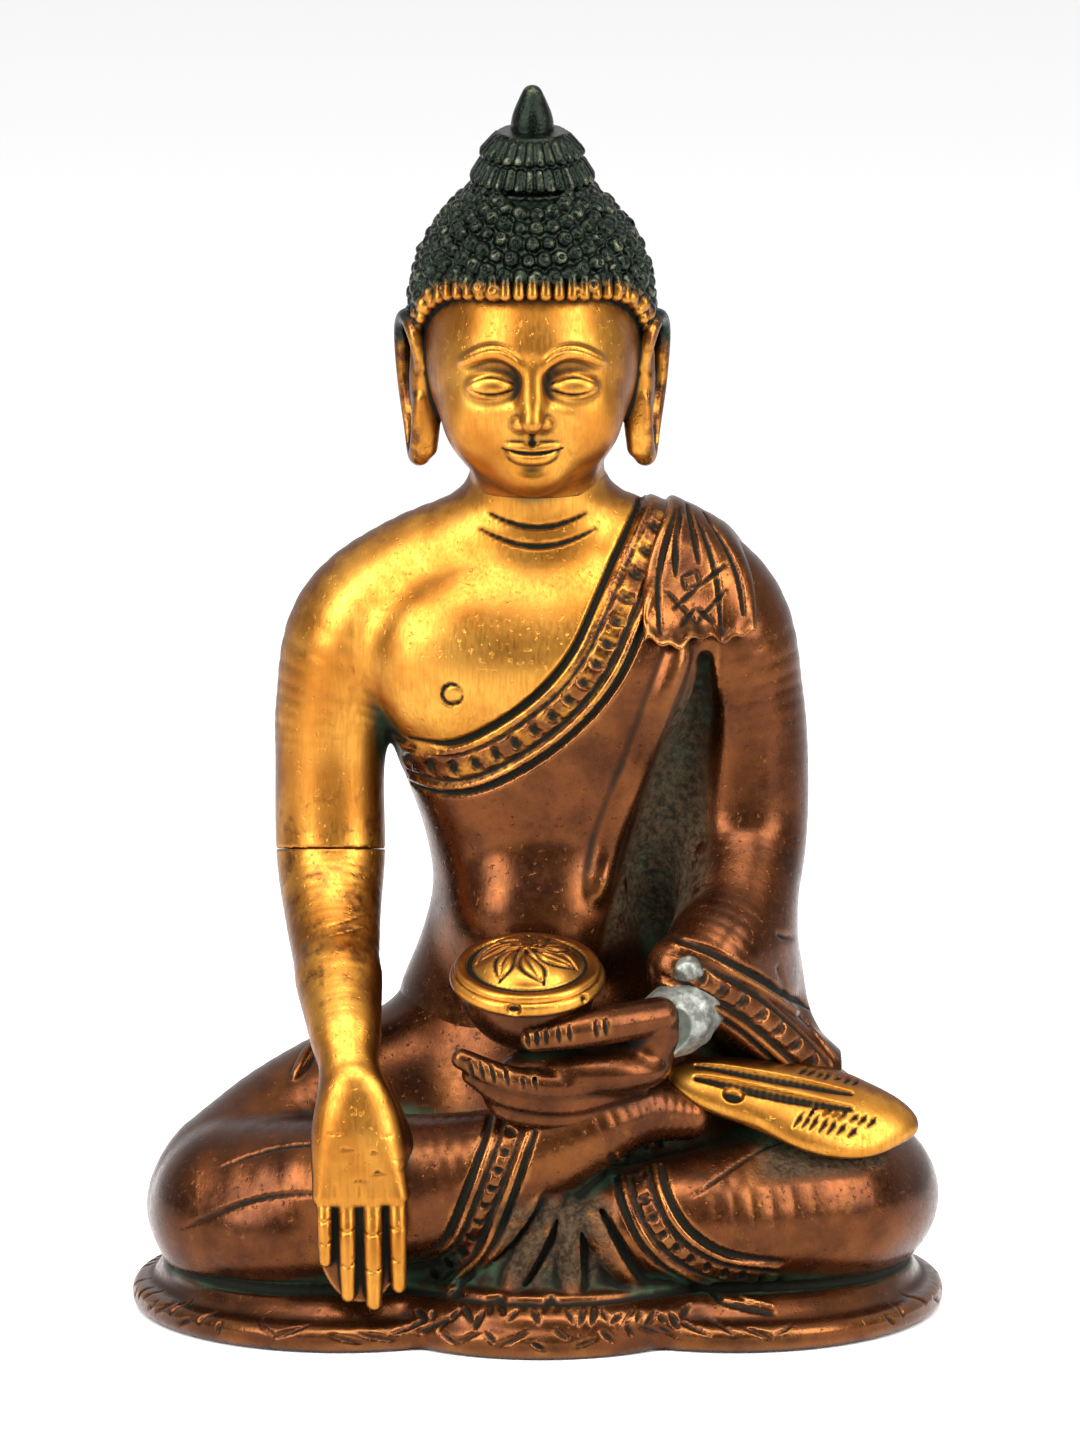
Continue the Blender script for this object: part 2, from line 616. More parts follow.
def make_head():
    clay = Clay((-20, -21.5, NECK_Z - 2), (18.7, 21.5, JEWEL_Z + 1.5), FINE * 0.9)
    clay.add(column([(NECK_Z - 4, 2.2, 9.1, 8.8), (NECK_Z, 2, 9.0, 8.8), (112, 1.4, 8.4, 8.5),
                     (120, 0.5, 8.8, 9)]), 0.3)
    clay.add(ball(head_at(0, 0.5, 18.5), (13.9, 15.2, 15.5)), 1)
    clay.add(ball(head_at(0, -2.8, 14.5), (12.9, 12.8, 13)), 2)
    clay.add(ball(head_at(0, -4.2, 6.8), (9.4, 9.2, 7)), 4)
    clay.add(ball(head_at(0, -10.4, 2.9), (3.4, 3, 2.9)), 3)
    for side in (-1, 1):
        clay.add(ball(head_at(side * 6.2, -8.6, 9.6), (4.6, 4.4, 5)), 3)
    model_features(clay)
    for side in (-1, 1):
        model_ear(clay, side)
    grow_hair(clay)
    clay.keep(lambda x, y, z: NECK_Z - 0.6 - z)
    return piece("head", clay, "head_casting", gilt=head_gilt, black=hair_black)


def on_face(clay, x, up):
    """The point of the face that lies x from its middle and up above the chin."""
    return seen_from_front(clay, [(MID_X + x, CHIN + up)])[0]


def face_stroke(clay, line, radius, **how):
    stroke(clay, seen_from_front(clay, [(MID_X + x, CHIN + up) for x, up in line]), radius, **how)


def model_features(clay):
    """Brow, nose, eyes and mouth, at thirds of the face and fifths of its width."""
    brow, nose = 2 * THIRD, THIRD
    eye, mouth = brow - 0.36 * THIRD, nose - THIRD / 3
    for side in (-1, 1):
        socket = on_face(clay, side * EYE, eye)
        clay.cut(ball(socket + (0, -0.5, 0.5), (4.4, 1.3, 2.4)), 2.2)
        clay.add(ball(socket + (0, 1.15, -0.1), (3.1, 1.7, 1.75)), 1.0)
        reach = np.linspace(-1, 1, 17)
        face_stroke(clay, [(side * (EYE + 2.9 * t), eye - 1.05 + 0.75 * t * t) for t in reach], 0.27)
        face_stroke(clay, [(side * (EYE + 3.0 * t), eye + 1.35 - 1.0 * t * t) for t in reach], 0.17)
        arch = [(side * (1.7 + 7.4 * t), brow - 0.3 + 1.7 * math.sin(math.pi * t ** 0.8))
                for t in (reach + 1) / 2]
        face_stroke(clay, arch, 0.34, raised=True, blend=1.1)
        face_stroke(clay, [(x, up + 0.55) for x, up in arch], 0.2)
    top, base = on_face(clay, 0, brow - 0.6), on_face(clay, 0, nose)
    clay.tube([(*(top + (0, 0.9, 0)), 1.0), (*(base + (0, -0.6, 4)), 1.15),
               (*(base + (0, -1.3, 1.3)), 1.4)], 1.7)
    for side in (-1, 1):
        clay.add(ball(base + (side * 1.65, 0.1, 0.95), (1.05, 1.2, 0.95)), 0.6)
        clay.cut(ball(base + (side * 0.9, -1.2, 0.0), (0.42, 0.5, 0.35)), 0.2)
    reach = np.linspace(-1, 1, 15)
    upper_lip = [(3.3 * t, mouth + 0.62 + 0.25 * t * t - 0.18 * math.exp(-20 * t * t)) for t in reach]
    face_stroke(clay, upper_lip, 0.6, raised=True, blend=0.5)
    face_stroke(clay, [(2.7 * t, mouth - 0.72 + 0.55 * t * t) for t in reach], 0.78, raised=True, blend=0.5)
    face_stroke(clay, [(3.9 * t, mouth + 0.55 * t * t) for t in reach], 0.27)
    clay.cut(ball(on_face(clay, 0, mouth - 2.5) + (0, -0.4, 0), (2.4, 0.8, 0.6)), 0.9)
    clay.cut(capsule(on_face(clay, 0, mouth + 1.3) + (0, -0.1, 0),
                     on_face(clay, 0, nose - 0.6) + (0, -0.1, 0), 0.35, 0.3), 0.5)


def model_ear(clay, side):
    """A long ear: a rim, a sunk middle and a stretched lobe."""
    x = MID_X + side * 14.9
    clay.add(ball((x - side * 0.9, 0.6, CHIN + 14), (2.0, 3, 9)), 0.8)
    clay.tube([(x - side * 1.0, -1.2, CHIN + 14, 1.5), (x - side * 1.3, -1.2, CHIN + 8, 1.7),
               (x - side * 1.1, -0.4, CHIN + 4.6, 1.6)], 0.8)
    rim = [(-0.8, -2.2, 15.5, 1.0), (0.3, -2.1, 19.6, 1.0), (1.3, 0.6, 21.4, 1.1), (1.9, 3.0, 19.2, 1.1),
           (1.5, 3.2, 13, 1.1), (0.4, 2.2, 7, 1.35), (-0.3, 0.6, 3.4, 1.5), (-0.4, -1.4, 6, 1.2),
           (-0.6, -2.1, 11, 1.0)]
    clay.tube([(x + side * out, y, CHIN + up, radius) for out, y, up, radius in rim], 0.5)
    clay.tube([(x + side * 0.5, 0.3, CHIN + 17.5, 0.8), (x + side * 0.7, 0.8, CHIN + 12, 0.6),
               (x, 0.4, CHIN + 7.5, 0.5)], 0.5, carve=True)
    clay.tube([(x + side * 1.4, 1.2, CHIN + 8, 0.4), (x + side * 1.2, 0.8, CHIN + 5, 0.35)], 0.3, carve=True)


HAIR_MID = np.array([MID_X, 1.0, CHIN + 22.5])
HAIR_RADII = np.array([15.2, 16.2, 17.4])
CURL = 1.12
KNOT = [(-1.6, 10.0, 8.6, 5.4), (4.5, 7.9, 6.9, 3.0), (7.7, 6.6, 5.2, 2.9)]
KNOT_FOOT = np.array([MID_X, 1.4, HAIR_MID[2] + 12.2])
KNOT_TURN = axes_to((0, -0.12, 1))


def on_knot(x, y, up):
    """A point on the knot's own axes: it leans a little forward."""
    return KNOT_FOOT + np.array([x, y, up]) @ KNOT_TURN


def tier(up, low_radius, high_radius, tall):
    """One solid step of the knot, narrower at its top, on the knot's own axes."""
    def distance(x, y, z):
        x, y, z = (p - q for p, q in zip((x, y, z), KNOT_FOOT))
        u, v, w = (x * row[0] + y * row[1] + z * row[2] for row in KNOT_TURN)
        radius = low_radius + (high_radius - low_radius) * np.clip((w - up) / tall, 0, 1)
        return np.maximum(np.hypot(u, v) - radius, np.maximum(up - w, w - up - tall))
    reach = np.array([low_radius + 2, low_radius + 2, 2])
    return Shape(on_knot(0, 0, up) - reach, on_knot(0, 0, up + tall) + reach, distance)


def hair_low(x, y):
    """The level where the hair starts: high over the forehead, low at the nape."""
    back = ramp(y, -12, 12)
    return CHIN + 26.3 - 14.5 * back - 0.6 * np.abs(x - MID_X) / 14


def grow_hair(clay):
    """Rows of small curls on a cap, then a ribbed knot in tiers."""
    cap = ball(HAIR_MID, HAIR_RADII)

    def scalp(x, y, z):
        return np.maximum(cap.distance(x, y, z), hair_low(x, y) - z)
    clay.add(Shape(cap.low, cap.high, scalp), 0.25)
    plant_curls(clay)
    for i, (up, low_radius, high_radius, tall) in enumerate(KNOT):
        clay.add(tier(up - 1, low_radius - 0.8, high_radius - 0.8, tall + 1.4), 0.2)
        ribs = int(2 * math.pi * low_radius / 1.5)
        for k in range(ribs):
            angle = 2 * math.pi * (k + 0.5 * (i % 2)) / ribs
            way = np.array([math.cos(angle), math.sin(angle)])
            size = rng.uniform(0.62, 0.8)
            low = on_knot(*(way * (low_radius - 0.5)), up + 0.6)
            high = on_knot(*(way * (high_radius - 0.5)), up + tall - 0.6)
            clay.add(capsule(low, high, size, size * 0.9), 0.2)


def plant_curls(clay):
    """Curls in rings that follow the hairline's tilt, each a bead with a dimple, none quite alike."""
    tilt = axes_to((0, -0.42, 1))
    row = 0
    for polar in np.arange(0.3, 2.6, 0.131):
        ring = math.sin(polar) * 16.0
        count = max(int(2 * math.pi * ring / (2 * CURL * 0.97)), 6)
        for k in range(count):
            angle = 2 * math.pi * (k + 0.5 * (row % 2)) / count + rng.normal(0, 0.012)
            flat = math.sin(polar)
            way = np.array([flat * math.cos(angle), flat * math.sin(angle), math.cos(polar)]) @ tilt
            at = HAIR_MID + way * HAIR_RADII
            size = CURL * rng.uniform(0.94, 1.16)
            if at[2] < hair_low(at[0], at[1]) + 0.5:
                continue
            clay.add(ball(at, size * rng.uniform(0.9, 1.1, 3)), 0.16)
            out = unit((at - HAIR_MID) / HAIR_RADII ** 2)
            clay.cut(ball(at + out * size * 1.05 + rng.normal(0, 0.15, 3), (0.4, 0.4, 0.4)), 0.15)
        row += 1
    edge = np.linspace(-math.pi * 0.98, -math.pi * 0.02, 27)
    for angle in edge:
        x, y = MID_X + math.cos(angle) * 14.6, 1.0 + math.sin(angle) * 15.9
        level = float(hair_low(x, y))
        out = np.array([math.cos(angle), math.sin(angle), 0]) * 0.5
        foot = np.array([x, y, level + 0.2]) + out * 0.6
        clay.add(capsule(foot, foot + (0, 0.35, 2.0), 0.78, 0.72), 0.12)


def hair_black(p):
    level = hair_low(p[:, 0], p[:, 1])
    shell = np.sqrt((((p - HAIR_MID) / (HAIR_RADII - 0.4)) ** 2).sum(1))
    in_knot = p[:, 2] > CHIN + 36
    return np.where(in_knot, 1.0, ramp(p[:, 2] - level, -0.3, 2.4) * ramp(shell, 0.96, 1.0))


def head_gilt(p):
    level = hair_low(p[:, 0], p[:, 1])
    beside = ramp(np.abs(p[:, 0] - MID_X), 13.2, 15.4)
    behind = ramp(p[:, 1], 4, 12)
    worn = 1 - ramp(p[:, 2] - level, 1.2, 3.6)
    return np.clip(worn * (1 - 0.55 * beside) * (1 - 0.75 * behind), 0, 1)


def make_jewel():
    low, high = node_box("crown_jewel")
    wide, foot = (high[0] - low[0]) / 2, JEWEL_Z
    clay = Clay((low[0] - 1.2, low[1] - 1.2, foot - 1.4), (high[0] + 1.2, high[1] + 1.2, TOP + 1), FINE * 0.6)
    middle = ((low[0] + high[0]) / 2, (low[1] + high[1]) / 2)
    tall = TOP - foot
    clay.tube([(*middle, foot + tall * share, wide * radius) for share, radius in
               ((0, 0.96), (0.28, 0.9), (0.55, 0.68), (0.78, 0.46))], 0.2)
    clay.add(pad(middle, wide * 1.04, wide * 1.04, 1.0, 0.45, foot - 0.4), 0.25)
    clay.keep(lambda x, y, z: foot - 0.8 - z)
    return piece("crown_jewel", clay, "crown_jewel", black=even(1))


# ---- lap: foot rim, crossed legs and robe --------------------------------------------------------

OVER_SHIN = [(-38, -11, 14.4, 12), (-22, -19, 18.6, 10), (-11, -21.5, 20.4, 9), (-2, -23.5, 24, 7),
             (6, -23.6, 27.6, 5.6), (13, -21.6, 29.8, 4.4), (19, -19.6, 29, 3.4)]
UNDER_SHIN = [(37, -11, 15.4, 11.6), (26, -18, 15.4, 9.6), (17, -21.4, 15.6, 8), (10, -21, 15, 6.6)]
RIM = [((-25.4, 0), 27.5, 32), ((25.4, 0), 27.5, 32), ((0.5, -14), 22, 22), ((0, 4), 50, 32)]
RIM_TALL = 3.6
SLOPE_TALL = 6.4
OUTSIDE = np.array([70, 55, 1])


def make_lap():
    low, high = node_box("lap_casting")
    clay = Clay(low - 1.6, np.array([*high[:2] + 1.6, high[2] + 1]), STEP)
    for at, rx, ry in RIM:
        clay.add(pad(at, rx, ry, RIM_TALL, 1.5), 1.0)
        clay.add(pad(at, rx - 3.4, ry - 3.4, SLOPE_TALL, 2.2), 2.4)
    clay.add(column([(0.5, 4, 46, 29.6), (8, 4, 44, 28.4), (16, 5, 39, 25), (26, 6, 31, 21),
                     (34, 6, 23.5, 17), (40, 5.5, 18, 13.8), (46, 5.5, 17.4, 13.4)]), 3)
    clay.add(ball((-30, -6, 14), (20.8, 21, 13.2)), 3)
    clay.tube([(-10, 3, 31, 10), (-22, 0, 27.5, 10), (-31, -2, 22, 10.8), (-37, -4, 16, 12)], 3)
    clay.add(ball((30.6, -4.4, 15.4), (21.6, 20.6, 14.2)), 3)
    clay.tube([(10, 3, 31, 10), (22, 0, 27.5, 10.4), (33, -2, 22.5, 11)], 3)
    clay.tube(UNDER_SHIN, 1.2)
    clay.tube(OVER_SHIN, 0.9)
    apron(clay)
    hems(clay)
    rim_cuts(clay)
    plate_low, plate_high = node_box("base_plate")
    half = (plate_high - plate_low) / 2
    middle = ((plate_low + plate_high) / 2)[:2]
    clay.cut(pad(middle, half[0] + 0.1, half[1] + 0.1, 3.2, 0.1, -1.6), 0.1)
    clay.keep(lambda x, y, z: np.maximum(z - WAIST_Z - 1.5, -z))
    return piece("lap", clay, "lap_casting", gilt=lap_gilt, raw=lap_raw)


def apron(clay):
    """Cloth that hangs from under the shins to the front lobe in soft folds, with leaf cuts along its hem."""
    clay.add(ball((2, -18, 11), (14, 10, 11)), 4)
    clay.add(ball((2, -22, 4.6), (19, 12.6, 3.6)), 2.4)
    for top, middle, foot in (((-0.6, 20), (-4.6, 14.6), (-10, 9.4)), ((2.2, 19), (-0.4, 13.8), (-3.4, 8.4)),
                              ((4.2, 18.4), (4.2, 13), (4.4, 8)), ((6.2, 18), (9, 13), (12, 8.6))):
        line = seen_from_front(clay, smooth_line([top, middle, foot], 8))
        stroke(clay, line, 0.6, raised=True, blend=1.8)
        stroke(clay, line + (1.7, 0, 0), 0.5, blend=0.7)
    for x in np.linspace(-15, 19, 24):
        level = 4.6 + 1.6 * math.cos((x - 2) / 9) + rng.uniform(-0.6, 0.9)
        reach, lean = rng.uniform(0.9, 2.3), rng.uniform(-1.0, 1.0)
        leaf = [(x + lean * t * 1.6, level + reach * t) for t in np.linspace(-0.5, 0.5, 6)]
        stroke(clay, seen_from_front(clay, leaf), rng.uniform(0.26, 0.46))


def lap_raw(p):
    """The rough cloth between the hems, and the unworked metal under the sole."""
    x, y, z = p.T
    middle = 2.4 - (z - 12) * 0.1
    apron_wide, apron_tall = 1 - ramp(np.abs(x - middle), 5, 9), within(z, 7, 10, 18, 21)
    sole_wide, sole_tall = within(x, 26, 31, 43, 48), within(z, 20.5, 22.5, 26, 28)
    return np.maximum(apron_wide * apron_tall * ramp(-y, 18, 22), sole_wide * sole_tall * ramp(-y, 14, 18))


def hems(clay):
    band(clay, [(-3.0, 30), (-4.5, 25.5), (-6.6, 19.5), (-9.2, 13), (-13.5, 8.6)], 2.1, pitch=2.5)
    band(clay, [(12.4, 26), (13.6, 20), (17, 14), (23, 9.6), (31, 7.6)], 2.2, pitch=2.5)
    for a, b in (((-22, 25.5), (-41, 22)), ((-28, 20), (-46, 14)), ((20, 20), (38, 26))):
        line = [(a[0] + (b[0] - a[0]) * t, a[1] + (b[1] - a[1]) * t + 1.6 * math.sin(math.pi * t))
                for t in np.linspace(0, 1, 16)]
        stroke(clay, seen_from_front(clay, line), 0.3)
    leaf = [(-31.5, 31.5), (-29.6, 34.2), (-27.2, 36.8)]
    stroke(clay, seen_from_front(clay, smooth_line(leaf, 8)), 0.8, raised=True, blend=0.5)


def rim_cuts(clay):
    """Short slanted cuts round the rim and the groove above it, all placed from outside."""
    for angle in np.linspace(0, 2 * math.pi, 92, endpoint=False):
        slant = rng.uniform(-0.045, 0.045)
        level, tall = rng.uniform(1.8, 3.2), rng.uniform(1.0, 1.9)
        if rng.random() < 0.25:
            continue
        points = []
        for t in np.linspace(0, 1, 6):
            a = angle + slant * (t - 0.5) * 2
            way = np.array([math.cos(a), math.sin(a), 0])
            points.append((way * OUTSIDE + (0, 0, level + tall * (t - 0.3)), -way))
        start = np.array([p[0] for p in points])
        toward = np.array([unit(p[1] * OUTSIDE) for p in points])
        stroke(clay, clay.land(start, toward, 60), rng.uniform(0.26, 0.4))
    groove_at = np.linspace(0, 2 * math.pi, 260)
    way = np.column_stack([np.cos(groove_at), np.sin(groove_at), np.zeros(len(groove_at))])
    toward = np.array([unit(-w * OUTSIDE) for w in way])
    stroke(clay, clay.land(way * OUTSIDE + (0, 0, SLOPE_TALL + 0.6), toward, 60), 0.5, blend=0.8)


def lap_gilt(p):
    return 0.16 * ramp(p[:, 2], 3, 14) * ramp(-p[:, 1], -6, 22)


# ---- left hand, bowl, sole, shoulder fold and solder ---------------------------------------------

def bowl_axes():
    tilt = math.radians(16)
    return np.array([[1, 0, 0], [0, math.cos(tilt), math.sin(tilt)], [0, -math.sin(tilt), math.cos(tilt)]])


LID_LOW, LID_HIGH = node_box("bowl_lid")
BOWL_MID = (LID_LOW + LID_HIGH) / 2 - (0, 0.2, 1.5)
BOWL_TURN = bowl_axes()


def on_bowl(x, y, z):
    return BOWL_MID + np.array([x, y, z]) @ BOWL_TURN


def turned_pad(at, radius, height, roll):
    """A round slab on the bowl's tilted axis."""
    half = height / 2

    def distance(x, y, z):
        x, y, z = x - at[0], y - at[1], z - at[2]
        own = [x * row[0] + y * row[1] + z * row[2] for row in BOWL_TURN]
        out = np.sqrt(own[0] ** 2 + own[1] ** 2) - radius + roll
        tall = np.abs(own[2]) - half + roll
        return np.minimum(np.maximum(out, tall), 0) + np.hypot(np.maximum(out, 0), np.maximum(tall, 0)) - roll
    return Shape(np.array(at) - radius - 1, np.array(at) + radius + 1, distance)


def make_left_hand():
    """The upturned hand: thumb along the bowl's near side, fingers under it."""
    clay = Clay((-13.5, -36, 29), (24, -10, 50), FINE)
    clay.tube([(21.4, -16.2, 45.2, 4.3), (18.6, -20, 42.4, 3.6), (14.6, -23.6, 40, 3.8)], 1)
    clay.add(ball((6, -24.8, 36), (11, 6.2, 3.8)), 2)
    clay.tube([(15.6, -25.2, 43.0, 2.5), (9.6, -28.6, 42.6, 2.5), (4, -30.8, 42, 2.2),
               (-0.6, -31.8, 41.3, 1.6)], 0.9)
    for drop, tip, back in ((0, -9.7, 0), (-2.2, -8.4, 0.7), (-4.2, -6.2, 1.9)):
        clay.tube([(12, -25.4 + back, 36.4 + drop, 2.4), (4, -29.2 + back, 34.8 + drop, 2.0),
                   (-3.6, -30.6 + back, 35.8 + drop, 1.8), (tip, -30.2 + back, 38.4 + drop, 1.35)], 0.5)
    for x in (-1.4, -0.2, 1.0, 2.6, 4.0, 7.4, 8.6):
        tick = [(x + 0.2 * t, 42.8 + 0.12 * x - 2.2 * t) for t in (0, 0.5, 1)]
        stroke(clay, seen_from_front(clay, tick), 0.32)
    for x in (-8.8, -7.4, -6.0, -4.2, -2.2, -0.6):
        tick = [(x + 0.5 * t, 38.4 + (x + 8) * -0.18 - 2.4 * t) for t in (0, 0.5, 1)]
        stroke(clay, seen_from_front(clay, tick), 0.3)
    return piece("left_hand", clay, "left_hand", gilt=even(0.08))


def make_bowl():
    clay = Clay(BOWL_LOW - 1.2, BOWL_HIGH + 1.2, FINE * 0.75)
    wide = (BOWL_HIGH[0] - BOWL_LOW[0]) / 2
    clay.add(ball(on_bowl(0, 0, -1.2), (wide * 0.86, wide * 0.86, 8.2), BOWL_TURN), 0.6)
    clay.add(turned_pad(on_bowl(0, 0, 0.1), wide, 1.9, 0.85), 0.5)
    clay.keep(lambda x, y, z: ((x - BOWL_MID[0]) * BOWL_TURN[2][0] + (y - BOWL_MID[1]) * BOWL_TURN[2][1]
                               + (z - BOWL_MID[2]) * BOWL_TURN[2][2]) - 1.0)
    for angle, size in ((-1.75, 1.0), (-0.74, 0.62)):
        clay.cut(ball(on_bowl(wide * math.cos(angle), wide * math.sin(angle), 0.4), (size, size, size)), 0.25)
    return piece("alms_bowl", clay, "alms_bowl", gilt=bowl_gilt)


def bowl_gilt(p):
    own = (p - BOWL_MID) @ BOWL_TURN.T
    return ramp(own[:, 2], -1.6, 0.0) * 0.8


def make_lid():
    low, high = node_box("bowl_lid")
    clay = Clay(low - 1.2, high + 1.2, FINE * 0.75)
    wide = (high[0] - low[0]) / 2
    clay.add(turned_pad(on_bowl(0, 0, 1.3), wide, 1.3, 0.6), 0.3)
    clay.add(ball(on_bowl(0, 0, 1.0), (wide * 0.76, wide * 0.76, 3.7), BOWL_TURN), 0.3)
    circle = np.linspace(0, 2 * math.pi, 61)
    outside = [on_bowl(wide * 0.8 * math.cos(a), wide * 0.8 * math.sin(a), 9) for a in circle]
    stroke(clay, clay.land(outside, -BOWL_TURN[2], 20), 0.46)
    along = np.linspace(0, 1, 14)
    for start in np.arange(7) * 2 * math.pi / 7:
        for side in (-1, 0, 1):
            angle = start + 0.55 * along + side * 0.36 * np.sin(math.pi * along)
            away = wide * (0.1 + 0.6 * along)
            leaf = [on_bowl(r * math.cos(a), r * math.sin(a), 9) for r, a in zip(away, angle)]
            stroke(clay, clay.land(leaf, -BOWL_TURN[2], 20), 0.34 if side else 0.2)
    return piece("bowl_lid", clay, "bowl_lid", gilt=even(0.95))


SOLE_MID = (SOLE_LOW + SOLE_HIGH) / 2 + (0, 0, -0.1)
SOLE_AXES = axes_to((0.3, -0.62, 0.76), (31, 9, -12))


def on_sole(x, y, z):
    return SOLE_MID + np.array([x, y, z]) @ SOLE_AXES


def make_sole():
    clay = Clay(SOLE_LOW - 2, SOLE_HIGH + 2, FINE)
    clay.add(ball(on_sole(-2.4, 0.1, -0.4), (14.4, 5.4, 2.7), SOLE_AXES), 0.3)
    clay.add(ball(on_sole(4.2, -0.5, -0.4), (10.8, 7.2, 2.6), SOLE_AXES), 1.6)
    clay.add(ball(on_sole(10.5, 0.3, -0.4), (6.6, 4.0, 2.3), SOLE_AXES), 1.6)
    above = SOLE_AXES[2]
    for shift, bend in ((-0.9, 0.9), (1.3, 0.4)):
        groove = [on_sole(x, shift - bend * math.cos(x / 8), 9) for x in np.linspace(-13.5, 7, 24)]
        stroke(clay, clay.land(groove, -above, 20), 0.85)
    for level, first in ((-4.6, 0), (-2.6, 2.5), (3.6, 0.5)):
        for i in range(7):
            start, tall = first + i * 1.25 + rng.uniform(-0.3, 0.3), rng.uniform(0.6, 1.2)
            tick = [on_sole(start + dx, level + dy * tall, 9)
                    for dx, dy in ((-0.6, -0.9), (0.1, 0.2), (0.4, 0.9))]
            stroke(clay, clay.land(tick, -above, 20), 0.34)
    clay.cut(ball(on_sole(-8.6, -2.6, 1.6), (1.4, 1.0, 1.2), SOLE_AXES), 0.3)
    return piece("right_sole", clay, "right_sole", gilt=even(0.97))


LEAF_CUTS = [((16.6, 95.6), (20.6, 91.4)), ((20.6, 91.4), (24.2, 95.2)), ((24.6, 98.6), (20.9, 96)),
             ((20.9, 96), (17.6, 93.4)), ((18.4, 91.2), (20.4, 93.2)), ((22.8, 91.2), (20.6, 93.2))]
PLEATS = [((15.8, 90.6), -1.4, 1), ((18.6, 91.5), -0.9, 0.62), ((23.6, 91), 1.4, 1), ((21.4, 92), 0.6, 0.55),
          ((26.6, 91.5), 2.2, 0.96)]
FOLD_APEX = np.array([18.8, 107.0])
FOLD_LEFT, FOLD_RIGHT = np.array([13.6, 89.8]), np.array([28.2, 90.2])


def fold_line(foot, bend, top=0.12, end=1.0):
    """A pleat from near the top of the fold to a foot (x, z), bowed sideways."""
    t = np.linspace(top, end, 14)[:, None]
    return FOLD_APEX + (np.array(foot) - FOLD_APEX) * t + np.array([bend, 0]) * np.sin(math.pi * t)


def beyond(x, z, a, b):
    """How far a point lies to the right of the line from a down to b."""
    way = unit(b - a)
    return (x - a[0]) * -way[1] + (z - a[1]) * way[0]


def make_fold():
    """The gathered end of the robe: a pleated, leaf-shaped second layer with a ragged hem."""
    low, high = node_box("shoulder_fold")
    clay = Clay(low - (2, 3.5, 3), high + (6, 5, 3), FINE)
    x, y, z = (np.broadcast_to(a, clay.d.shape) for a in clay.grid())
    under = clays["torso"].sample(np.column_stack([x.ravel(), y.ravel(), z.ravel()])).reshape(x.shape)
    waves = 0.5 * np.sin(x * 0.95 + 0.6) + 0.35 * np.sin(x * 2.3)
    hem = 89.2 + waves + ramp(y, 0, 8) * 5
    bow = 1.6 * np.sin(np.clip((107 - z) / 17, 0, 1) * math.pi)
    beside = np.maximum(-beyond(x + bow, z, FOLD_APEX - (1.2, 0), FOLD_LEFT),
                        beyond(x - bow * 1.5, z, FOLD_APEX + (2.2, 0), FOLD_RIGHT))
    lip = 0.75 * np.exp(-((z - hem) / 1.3) ** 2)
    layer = np.maximum(under - 0.85 - lip, -under - 0.6)
    clay.d = (-soft_min(-layer, -np.maximum(hem - z, beside), 0.7)).astype(np.float32)
    for foot, bend, end in PLEATS:
        stroke(clay, seen_from_front(clay, fold_line(foot, bend, end=end)), 0.42)
    for a, b in LEAF_CUTS:
        stroke(clay, seen_from_front(clay, np.linspace(a, b, 9)), 0.3)
    square = np.array([(18.6, 97.2), (20.4, 97.8), (20.9, 96.2), (19.0, 95.6), (18.6, 97.2)])
    for a, b in zip(square[:-1], square[1:]):
        stroke(clay, seen_from_front(clay, np.linspace(a, b, 6)), 0.22)
    return piece("shoulder_fold", clay, "shoulder_fold", gilt=even(0.22))


def make_solder():
    """Uneven lumps of soft solder at the wrist and on the cuff."""
    low, high = node_box("wrist_solder")
    clay = Clay(low - 2, high + 2, FINE * 0.8)
    wrist = [(20.6, -17.8, 43.8, 4.4), (18.0, -20.9, 42.0, 4.6), (15.6, -22.8, 40.8, 4.2)]
    clay.tube(wrist, 0.3)
    for _ in range(26):
        way = unit(rng.normal(size=3))
        size = rng.uniform(0.6, 1.1)
        clay.add(ball(np.array(wrist[1][:3]) + way * (3.9, 3.9, 3.7), (size, size, size)), 1.1)
    made = piece("wrist_solder", clay, "wrist_solder")
    low, high = node_box("cuff_solder")
    blob = Clay(low - 1, high + 1, FINE * 0.6)
    centre = (low + high) / 2
    blob.add(ball(centre, (1.8, 1.8, 1.7)), 0.2)
    for _ in range(9):
        way = unit(rng.normal(size=3))
        size = rng.uniform(0.4, 0.8)
        blob.add(ball(centre + way * 1.4, (size, size, size)), 0.3)
    return made, piece("cuff_solder", blob, "cuff_solder")


# ---- materials -----------------------------------------------------------------------------------

